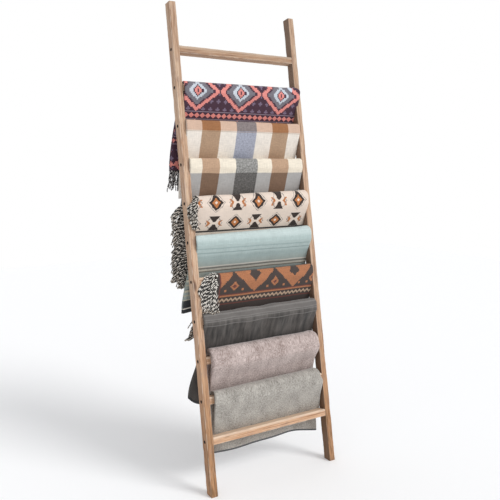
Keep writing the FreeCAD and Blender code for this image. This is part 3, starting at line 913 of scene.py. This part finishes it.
def plaid_cloth(cloth, grounds, stripes, band, seed, line_share):
    """A gauzy plaid. grounds: its colour, and that where the band crosses. stripes: (start, end,
    both colours, how flecked) of each."""
    waver = cloth.grain(0.01, 0.01, seed, 1) * 5.0 - 2.5
    u, v = cloth.u + waver, cloth.v + waver
    plain, crossed = grounds
    tweed = cloth.u * 0.0
    for low, high, first, second, flecked in stripes:
        mask = u.step(low - 1.5, low + 1.5) - u.step(high - 1.5, high + 1.5)
        plain, crossed = cloth.mix(mask, plain, first), cloth.mix(mask, crossed, second)
        tweed = tweed + mask * flecked
    low, high = band
    mask = v.step(low - 1.5, low + 1.5) - v.step(high - 1.5, high + 1.5)
    line = v.near(high + 4, 1.8) * line_share
    colour = cloth.paint(cloth.mix(mask, plain, crossed), (line, "8F6E4C"))
    return cloth.woven(colour, seed, crease=1.1, tweed=tweed)


def ivory_cloth(cloth):
    """Ivory with bold lozenges and hourglasses in turn, small arrowheads and a dark line across it 188
    mm down the front from the middle of the rung's top.
    """
    ivory, black, orange, grey, step = "E0CFC1", "30241F", "B5713F", "8E8680", 3.0
    us, vs = cloth.u.snap(step) + step / 2, cloth.v.snap(step) + step / 2
    number = ((us - 30) / 118).floor() + (vs / 98).floor()
    odd = (number * 0.5).frac().above(0.25)
    plain = 1.0 - odd
    side, down = us.cell(118, 30).abs(), vs.cell(98).abs()
    reach = side + down * 1.15
    glass = (side - down * 0.8).below(1.0) * down.within(5, 36) * odd
    arrow = (side + down * 0.9).near(46, 2.2) * down.below(26) * odd
    wing = (side - 20 - down * 0.8).within(0, 14) * down.below(16) * odd
    colour = cloth.paint(ivory, (reach.within(47, 51) * plain, grey), (reach.below(40) * plain, black),
                         (reach.below(24) * plain, orange), (reach.below(9) * plain, ivory),
                         (glass, black), (wing, orange), (arrow, grey),
                         (cloth.v.near(188, 4.5), "3B3534"))
    return cloth.woven(colour, 7.0, slub=0.14, thread=2.6, depth=0.3, crease=0.9)


def aqua_cloth(cloth):
    """Pale aqua gauze with groups of fine stripes, a dark band along each end, and a painted highlight
    along both top edges of the rung.
    """
    v = cloth.v
    line = v + (cloth.noise(cloth.u * 0.006, 0.0, 4.0, 1) * 8.0 - 4.0)
    colour = cloth.paint("A9B9B7", (line.abs().step(102, 120), "98A8A6"),
                         (line.abs().step(125, 165), "9AA49F"),
                         # a paler band about 28 mm either side of the middle of the rung's top: a
                         # painted highlight where the cloth turns over the rung's edges
                         ((1.0 - (v.abs() - 28).abs().step(4, 26)) * 0.4, "D6E2E0"))
    for centre, half, tint in ((76, 3.4, "96A8A7"), (98, 3.4, "8E9F9E"), (168, 3.2, "C9C5BA"),
                               (176, 4.2, "77716A"), (185.5, 4.4, "C4BEB0"), (193, 2.8, "74695D")):
        for side in (1, -1):
            colour = cloth.mix((line * side).near(centre, half) * 0.9, colour, tint)
    tail = v.cell(46)
    tails = v.within(-300, -196)
    colour = cloth.paint(colour, (tails * tail.within(-22, -12), "C6C0AC"),
                         (tails * tail.within(-12, -8), "6E7B7B"),
                         (tails * tail.within(6, 12), "B9B49F"), (v.below(-308), "33363A"),
                         (v.within(-352, -347), "E4E0D6"), (v.within(-312, -308), "C6C0AC"))
    return cloth.woven(colour, 11.0, slub=0.18, crease=2.2)


def rust_cloth(cloth):
    """Rust with large charcoal stepped peaks round small lozenges, a fleck of dark yarn all over
    and rows of small teeth."""
    u, v, step = cloth.u, cloth.v, 6.0
    us, vs = u.snap(step) + step / 2, v.snap(step) + step / 2
    rust, dark, red = "AA6F4B", "413733", "6A3A32"
    side, down = us.cell(232, -20).abs(), vs.cell(196, -20)
    peak = (side * 0.9 - down).below(62) * down.below(40)
    lozenge = side * 1.1 + (down - 2).abs()
    small = us.cell(48, -20 + 116 - 24).abs() * 1.1 + (down - 25).abs()
    tooth = v.cell(196, 154 - 98)
    teeth = (tooth + u.snap(3.0).wave(24) * 12).within(-2, 9)
    gap = (us.cell(232, -20 + 116).abs() * 0.9 + (down + 44).abs()).below(30)
    fleck = cloth.grain(0.24, 0.24, 3.0, 3).step(0.5, 0.68) * 0.45
    colour = cloth.paint(rust, (gap, dark), (peak, dark), (lozenge.below(26), rust),
                         (lozenge.below(12), red), (small.below(11) * side.within(20, 84), rust),
                         (down.near(46, 3.2), red), (tooth.within(-20, 14), dark), (teeth, "B89E86"),
                         (tooth.within(20, 60), dark), (tooth.near(17, 3.0), red), (u.below(14), dark),
                         (u.within(14, 20), red), (fleck, "4A3C36"))
    return cloth.woven(colour, 13.0, thread=2.8, depth=0.32, crease=0.7)


def charcoal_cloth(cloth):
    """Charcoal with a nap in soft upright tracks and broad patches, painted lighter and darker as
    painted shade of soft folds, and fine paler lines on top.
    """
    v = cloth.v
    line = v + (cloth.noise(cloth.u * 0.008, 0.0, 2.0, 1) * 6.0 - 3.0)
    nap_and_fold_shade = cloth.grain(0.04, 0.006, 6.0, 4, 0.6)
    fold_shade_patch = cloth.grain(0.013, 0.011, 9.0)
    # brushed: the nap's upright tracks and broad patches, a painted shade of soft folds below the top
    # band
    brushed = (nap_and_fold_shade - 0.5) * 3.8 + (fold_shade_patch - 0.5) * 1.3
    ground = cloth.mix(v.abs().step(35, 75), "66625F", "494542")
    lines = [(line.near(centre, 1.8) * 0.5, "85827F") for centre in (14, 24, 40, 50, 66)]
    colour = cloth.paint(cloth.shade(ground, brushed * v.step(30, 80) + 1.0), *lines,
                         (v.below(-442), "2E2F30"))
    return cloth.woven(colour, 17.0, slub=0.26, depth=0.22, crease=1.6, sheen=0.2)


def cord_cloth(name, light, dark, tip, dark_share):
    """Two-ply cords, light twisted with dark, that end in loose undyed tips. Each strand has its
    own whole number in u, and v runs from its root to its tip."""
    cord = Cloth(name, 1.0)
    strand = (cord.u.floor() * 0.61803).frac()
    fibre = cord.noise(cord.u.frac() * 5, cord.v * 60, strand * 9, 3)
    ply = (cord.u.frac() - (strand - 0.5) * 0.4 - dark_share).step(-0.05, 0.05)
    colour = cord.mix((ply + (fibre - 0.5) * 0.25).clip(), dark, light)
    colour = cord.mix(cord.v.step(0.9, 0.94) * 0.6, colour, tip)
    return cord.finish(colour, 0.95, fibre, 0.3, 0.15)


def label_cloth():
    cloth = Cloth("label")
    u, v = cloth.u, cloth.v
    stitch = (u.abs().near(11, 0.5) * v.cell(3.0).abs().below(1.0)).max(
        v.abs().near(6.6, 0.5) * u.cell(3.0).abs().below(1.0))
    return cloth.woven(cloth.mix(stitch, "CBD6E2", "7C8CA6"), 23.0, slub=0.08, thread=0.9, depth=0.12)


# ------------ timber and screws

def timber(name, is_rung, offset):
    """Weathered fir: streaks of pale and dark grain along the board, rings round a heart outside
    it, knots and rubbed edges; a painted highlight along the top of each rung, and painted shade
    that makes the stiles' outer faces greyer and the right stile's inner face darker."""
    surface = Surface(name)
    x, y, z = surface.place()
    up, back = z - FIRST.y * 1000, y - FIRST.x * 1000
    rise, front = up * COS + back * SIN, back * COS - up * SIN
    pitch, inner, outer = SPACING * 1000, INNER * 1000, OUTER * 1000
    number = (rise / pitch + 0.5).floor() if is_rung else x.above(0.0) * 3.0
    own = (number * 0.7548 + offset).frac()
    length = (x if is_rung else rise) + own * 3700.0
    side = rise - number * pitch if is_rung else x.abs() - (inner + outer) / 2
    sway = surface.noise(length * 0.003, own * 9, 1.0) * 22.0
    heart_side = side + (own - 0.5) * 70.0 + sway - 11.0
    heart_front = front + 46.0 - own * 18.0
    radius = (heart_side * heart_side + heart_front * heart_front).pow(0.5)
    knots = surface.vector(length * 0.0042, side * 0.012, front * 0.012 + own * 7)
    knots = surface.node("ShaderNodeTexVoronoi", {"Vector": knots, "Scale": 1.0}, "Distance")
    near_knot = 1.0 - knots.step(0.03, 0.16)
    rings = ((radius + sway * 0.3 + near_knot * 9.0) * 0.16).frac()
    late = rings.step(0.3, 0.9) - rings.step(0.93, 1.0)

    def streak(slow, fast, detail, seed):
        return surface.noise(length * slow, side * fast + near_knot * 0.5, front * fast + seed,
                             detail, 0.6)

    fibre = streak(0.012, 0.7, 5, 0.0)
    broad = streak(0.005, 0.17, 4, own * 5)
    blotch = streak(0.02, 0.045, 4, own * 3 + 8)
    grime = streak(0.015, 0.12, 4, 4.0)
    warm = rise.step(300, -60) * 0.15 + 0.2 if is_rung else rise.step(760, -100) * 0.8
    rub = surface.noise(length * 0.02, side * 0.06, front * 0.06, 4).step(0.36, 0.56)
    edge = side.abs().step(12.5, 16.5) * front.abs().step(17.0, 21.5) * rub
    light = (own - 0.5) * 0.1 + (fibre - 0.5) * 0.4 + 0.78 + rise.step(-240, 900) * 0.16
    if is_rung:
        light = light - number * 0.048 + 0.27
        # the upper part of each rung's front and its top face are painted paler: a painted highlight
        # where light falls from above
        more = [(side.step(6.0, 9.0) * 0.5, "E0CCB6")]
    else:
        light = light - rise.step(1300, 2000) * 0.1 - x.above(0.0) * 0.05
        off = rise.cell(pitch, -pitch / 2)
        on_rung = rise.within(-20.0, pitch * 10 + 20.0) * x.abs().above(inner + 2.0)
        stain = (off * off + front * front).pow(0.5).step(9.0, 7.0) * on_rung
        dirt = streak(0.012, 0.14, 4, 6.0).step(0.42, 0.62) * rise.step(330, -160)
        # the outer faces painted greyer and the right stile's inner face painted dark are painted shade
        # on the faces turned from the light
        more = [(x.abs().above(outer - 2.0) * 0.12, "94796A"),
                (x.abs().below(inner + 2.0) * x.above(0.0) * 0.8, "6A5242"),
                (dirt * 0.75, "74532F"), (stain, "1B1512")]
    colour = surface.paint("DDBFA2", (broad.step(0.4, 0.62), "B98F70"), (warm, "C98E58"),
                           (late * 0.45, "A67A5C"), (broad.step(0.56, 0.7) * 0.75, "805C46"),
                           (fibre.step(0.5, 0.75) * 0.6, "7C5C49"),
                           (fibre.step(0.48, 0.3) * 0.5, "E6D0B8"),
                           (blotch.step(0.5, 0.7) * 0.4, "A5877A"), (near_knot * 0.85, "54382A"),
                           (edge * 0.75, "E8D2BC"), (grime.step(0.56, 0.7) * 0.5, "6B4E3D"), *more)
    height = fibre + late * 0.3 - near_knot * 0.4 + broad * 0.8
    return surface.finish(surface.shade(colour, light), 0.75, height, 0.8)


def board(name, seed, low, high, spread, place_at):
    """A planed board with worn, wavy corners. low, high: its two ends along its length, as
    functions of the place across. spread: half its width and depth. place_at: (side, front,
    length) to a point."""
    reach = max(high(front) for front in (-spread[1], spread[1]))
    reach -= min(low(front) for front in (-spread[1], spread[1]))
    bevel, ring_pitch = 1.5 * MM, 0.009
    steps = [0.0, bevel / reach, *np.linspace(0, 1, int(reach / ring_pitch))[1:-1],
             1 - bevel / reach, 1.0]
    corners = [(1, 1), (-1, 1), (-1, -1), (1, -1)]
    verts = []
    for step in steps:
        ease = 1.0 * MM if step in (0.0, 1.0) else 0.0
        along = step * reach
        for corner, (over, fore) in enumerate(corners):
            wear = drift(along * 14, seed + corner * 3.1)
            nick = drift(along * 55, seed + corner * 5.7, 4)
            radius = (2.2 + 5.5 * max(0.0, wear) + 3.0 * max(0.0, nick)) * MM
            for turn in range(5):
                angle = corner * math.pi / 2 + turn * math.pi / 8
                side = over * (spread[0] - radius) + radius * math.cos(angle)
                front = fore * (spread[1] - radius) + radius * math.sin(angle)
                side -= math.copysign(ease, side)
                front -= math.copysign(ease, front)
                verts.append((side, front, step))
            facing = corners[(corner + 1) % 4]
            for part in (0.3, 0.5, 0.7):
                side = (over + (facing[0] - over) * part) * spread[0]
                front = (fore + (facing[1] - fore) * part) * spread[1]
                dent = 0.7 * MM * max(0.0, drift(along * 20, side * 60 + seed, front * 60)) + ease
                if over == facing[0]:
                    side -= over * dent
                else:
                    front -= fore * dent
                verts.append((side, front, step))
    points = [place_at(side, front, low(front) + (high(front) - low(front)) * step)
              for side, front, step in verts]
    return add_mesh(name, points, tube_faces(0, len(steps), len(verts) // len(steps)))


def tube_faces(base, rings, sides):
    """The faces of a closed tube whose rings of points are numbered from base on."""
    last = base + (rings - 1) * sides
    faces = [list(range(base, base + sides))[::-1], list(range(last, last + sides))]
    for low in range(base, last, sides):
        for i in range(sides):
            j = (i + 1) % sides
            faces.append([low + i, low + j, low + sides + j, low + sides + i])
    return faces


def drill(piece, holes):
    """Cuts stepped round holes along X: (mouth, direction, ((depth, radius), ...)) each."""
    verts, faces, sides, sharp = [], [], 24, math.radians(38)
    for mouth, inward, steps in holes:
        faces += tube_faces(len(verts), len(steps), sides)
        for depth, radius in steps:
            for i in range(sides):
                angle = i * 2 * math.pi / sides * inward
                around = (depth * inward, radius * math.cos(angle), radius * math.sin(angle))
                verts.append(mouth + Vector(around) * MM)
    cutter = add_mesh("holes", verts, faces)
    change = piece.modifiers.new("holes", "BOOLEAN")
    change.object = cutter
    change.operation = "DIFFERENCE"
    change.solver = "EXACT"
    shape = piece.evaluated_get(bpy.context.evaluated_depsgraph_get())
    piece.data = bpy.data.meshes.new_from_object(shape)
    piece.modifiers.clear()
    bpy.data.objects.remove(cutter)
    piece.data.shade_smooth()
    piece.data.set_sharp_from_angle(angle=sharp)


# (depth, radius) of the screw holes in mm: counterbore and shank in a stile, pilot in a rung
STILE_HOLE = ((-2, 6), (8, 6), (8, 2.7), (36, 2.7))
RUNG_HOLE = ((-2, 2.7), (36.4, 2.7))


def make_boards():
    rungs = timber("timber_rungs", True, 0.13)
    stiles = timber("timber_stiles", False, 0.41)
    numbers = range(1, RUNG_COUNT + 1)
    middle_x = (INNER + OUTER) / 2
    top = (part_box("left_stile")[1].z - FIRST.y - DEPTH / 2 * SIN) / COS

    def foot(front):
        return (front * SIN - FIRST.y) / COS

    def mouth(x, number):
        return Vector((x, *place(DEPTH / 2, rung_rise(number))))

    for side, name in ((-1, "left_stile"), (1, "right_stile")):
        piece = board(name + "_board", side * 7.3, foot, lambda front: top,
                      ((OUTER - INNER) / 2, DEPTH / 2),
                      lambda a, front, z: (side * (middle_x - a), *place(front + DEPTH / 2, z)))
        drill(piece, [(mouth(side * OUTER, number), -side, STILE_HOLE) for number in numbers])
        enrol(piece, name, stiles)
    for number in numbers:
        rise = rung_rise(number)
        piece = board("rung_board_%02d" % number, (number - 1) * 2.9, lambda front: -INNER,
                      lambda front: INNER, (HEIGHT / 2, DEPTH / 2),
                      lambda a, front, x: (x, *place(front + DEPTH / 2, rise - a)))
        drill(piece, [(mouth(side * INNER, number), -side, RUNG_HOLE) for side in (-1, 1)])
        enrol(piece, "rung_%02d" % number, rungs)


def dress_screws():
    surface = Surface("screw_metal")
    speck = surface.noise(*(axis * 0.8 for axis in surface.place()), 4)
    colour = surface.mix(speck.step(0.4, 0.7), "141211", "2A2522")
    metal = surface.finish(colour, 0.5, speck, 0.1, metallic=0.3)
    for side in ("left", "right"):
        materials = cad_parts[side + "_screws"].data.materials
        materials.clear()
        materials.append(metal)


# ------------ the nine throws

def throw_look(name, rung, layer, plies, fold_length, back_drop, gaps, left, right, **more):
    """How a throw lies. Sizes are in mm. left and right: shifts of the edge at the back hem, the
    rung's back, its top, the front's top, the front's foot, the tuck behind the next rung and the
    front hem."""
    look = dict(name=name, rung=rung, layer=layer, plies=plies, fold_length=fold_length,
                back_drop=back_drop, gap_left=gaps[0], gap_right=gaps[1], left_shifts=left,
                right_shifts=right,
                bulge=3, fold_depth=2, wander=1, end=9, folds=2, puff=0.15, soft=(8, 3, 3.0),
                small=0.8, hem_slope=0.0, hem_wave=3.0, hem_turns=2.0, wobble=2.0, seed=rung * 1.37,
                width=1.27, loft=(0, 0), flare_from=0.0, corner=(0, 1), hem_bump=(0, 0.5, 1))
    look.update(more)
    for key in ("layer", "fold_length", "back_drop", "gap_left", "gap_right", "bulge", "fold_depth",
                "wander", "end"):
        look[key] *= MM
    return look


LOOKS = [
    throw_look("silver_throw", 2, 2.1, 3, 508, 263, (18, 16), (20, 8, 8, -3, -4, 8, 8),
               (26, -4, -18, -14, 0, 16, 16), hem_slope=49, hem_wave=6, end=16, puff=0.2,
               soft=(7, 4, 4.0), loft=(5, 18), corner=(-14, 220), hem_bump=(33, 0.76, 0.17)),
    throw_look("mauve_throw", 3, 3.1, 2, 762, 350, (25, 14), (-8, 4, -4, -12, -10, 4, 4),
               (0, -6, -22, -14, -8, -2, -2), bulge=5, end=18, puff=0.25, soft=(7, 4, 4.0),
               loft=(22, 24)),
    throw_look("charcoal_throw", 4, 2.7, 2, 762, 408, (1, 4), (-54, 0, 0, -6, -5, 0, 0),
               (26, 0, -6, 0, 0, 2, 2), folds=4, fold_depth=3.5, soft=(13, 2, 10.0), small=1.4,
               loft=(0, 5), flare_from=0.45, corner=(34, 62)),
    throw_look("rust_throw", 5, 2.9, 2, 762, 245, (84, 3), (-46, 0, 0, 0, 0, 0, 0),
               (18, 0, -4, 0, 0, 6, 6), width=1.11),
    throw_look("aqua_throw", 6, 2.6, 2, 762, 325, (5, 1), (-58, 0, -3, -12, -10, -6, -4),
               (26, 0, -3, 0, 0, 3, 2), soft=(9, 3, 4.5), small=1.2, loft=(0, 16),
               corner=(-12, 180)),
    throw_look("ivory_throw", 7, 2.9, 2, 762, 345, (36, 1), (-62, -30, -14, -18, -26, -33, -33),
               (26, 0, -3, 0, 0, 3, 3), bulge=5, soft=(8, 4, 4.0), loft=(0, 17)),
    throw_look("lower_plaid_throw", 8, 2.4, 2, 762, 350, (1, 6), (-40, 0, 0, -5, -5, -4, 0),
               (26, 0, -3, 0, 0, 3, 2), small=1.0),
    throw_look("upper_plaid_throw", 9, 2.4, 2, 762, 345, (1, 1), (-20, 0, 0, -7, -7, -5, 0),
               (24, 0, -3, 0, 0, -1, -2), small=1.0),
    throw_look("plum_throw", 10, 2.6, 2, 762, 392, (1, 1), (-50, 0, 3, 0, 0, 0, 0),
               (24, 0, -34, 20, 14, 8, 0), end=16, puff=0.4, loft=(0, 6)),
]


def stripes(*groups):
    """(start, end, colours, how flecked) of each stripe of a plaid."""
    return [(*span, *look) for look, *spans in groups for span in spans]


CLOTHS = {
    "silver": (plush_cloth, "76716A", "BFBAB2", 31.0, 8.0),
    "mauve": (plush_cloth, "816E67", "D6C6C1", 37.0, -1.0),
    "charcoal": (charcoal_cloth,),
    "rust": (rust_cloth,),
    "aqua": (aqua_cloth,),
    "ivory": (ivory_cloth,),
    "lower_plaid": (plaid_cloth, ("A8A6A4", "E6DCCA"), stripes(
        (("775D4A", "B6967B", 0.2), (59, 151), (452, 553), (700, 800)),
        (("5C5A58", "8C8B88", 1.0), (243, 369), (890, 1010))), (-92, 85), 3.0, 0.0),
    "upper_plaid": (plaid_cloth, ("E6DED4", "CCAD98"), stripes(
        (("AC8F75", "986741", 0.2), (75, 175), (474, 574), (724, 824)),
        (("9FA2B0", "807675", 0.5), (266, 381), (915, 1030))), (-80, 62), 5.0, 0.5),
    "plum": (plum_cloth,),
}


def throw_material(throw):
    kind = throw.name.replace("_throw", "")
    weave, *settings = CLOTHS[kind]
    return weave(Cloth(kind + "_cloth", hem=-throw.lengths[0]), *settings)


def enrol(piece, node, material):
    piece.data.materials.append(material)
    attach(piece, "root")
    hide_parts(node)
    return piece


def hang_throws():
    throws, below, rear = {}, 0.0, -math.inf
    for look in LOOKS:
        throw = Throw(look, below, rear)
        below, rear = throw.stack, throw.rear
        throw.piece = enrol(throw.build(), throw.name, throw_material(throw))
        throws[throw.name] = throw
    return throws


IVORY_FRINGE = SimpleNamespace(top=(12, 62), low=(-32, -2), rear=(70, 98), hem=(34, 62), tips=(48, 24),
                               length=(74, 118), close=0.1, arch=2.6, pitch=10.0, thick=3.7)
RUST_FRINGE = SimpleNamespace(top=(30, 118), low=(-18, 22), rear=(30, 60), hem=(56, 96), tips=(20, 34),
                              length=(158, 116), close=0.3, arch=2.8, pitch=10.0, thick=3.7)
PLUM_FRINGE = SimpleNamespace(length=92, pitch=8.5, thick=3.0)


def trim_throws(throws):
    """The fringes and the label; returns the pieces on each throw."""
    others = list(throws.values())
    ivory, rust, plum = (throws[kind + "_throw"] for kind in ("ivory", "rust", "plum"))
    ivory_yarn = enrol(side_fringe("ivory_yarn", ivory, others, IVORY_FRINGE), "ivory_fringe",
                       cord_cloth("ivory_yarn", "F0E9DE", "16120F", "94887A", 0.69))
    rust_yarn = enrol(side_fringe("rust_yarn", rust, others, RUST_FRINGE), "rust_fringe",
                      cord_cloth("rust_yarn", "F2ECE2", "141112", "9E9080", 0.66))
    plum_yarn = enrol(hem_fringe("plum_yarn", plum, PLUM_FRINGE), "plum_fringe",
                      cord_cloth("plum_yarn", "E4E0DC", "17141A", "6F6A70", 0.71))
    label = enrol(sewn_label(plum), "blank_label", label_cloth())
    return {ivory.name: [ivory_yarn], rust.name: [rust_yarn], plum.name: [plum_yarn, label]}


make_camera()
make_world(0.75)
make_sun(1.5, (2.0, -3.0, 4.0), (0, 0.2, 1.0), 25)
make_floor()
make_boards()
dress_screws()
THROWS = hang_throws()
TRIMS = trim_throws(THROWS)
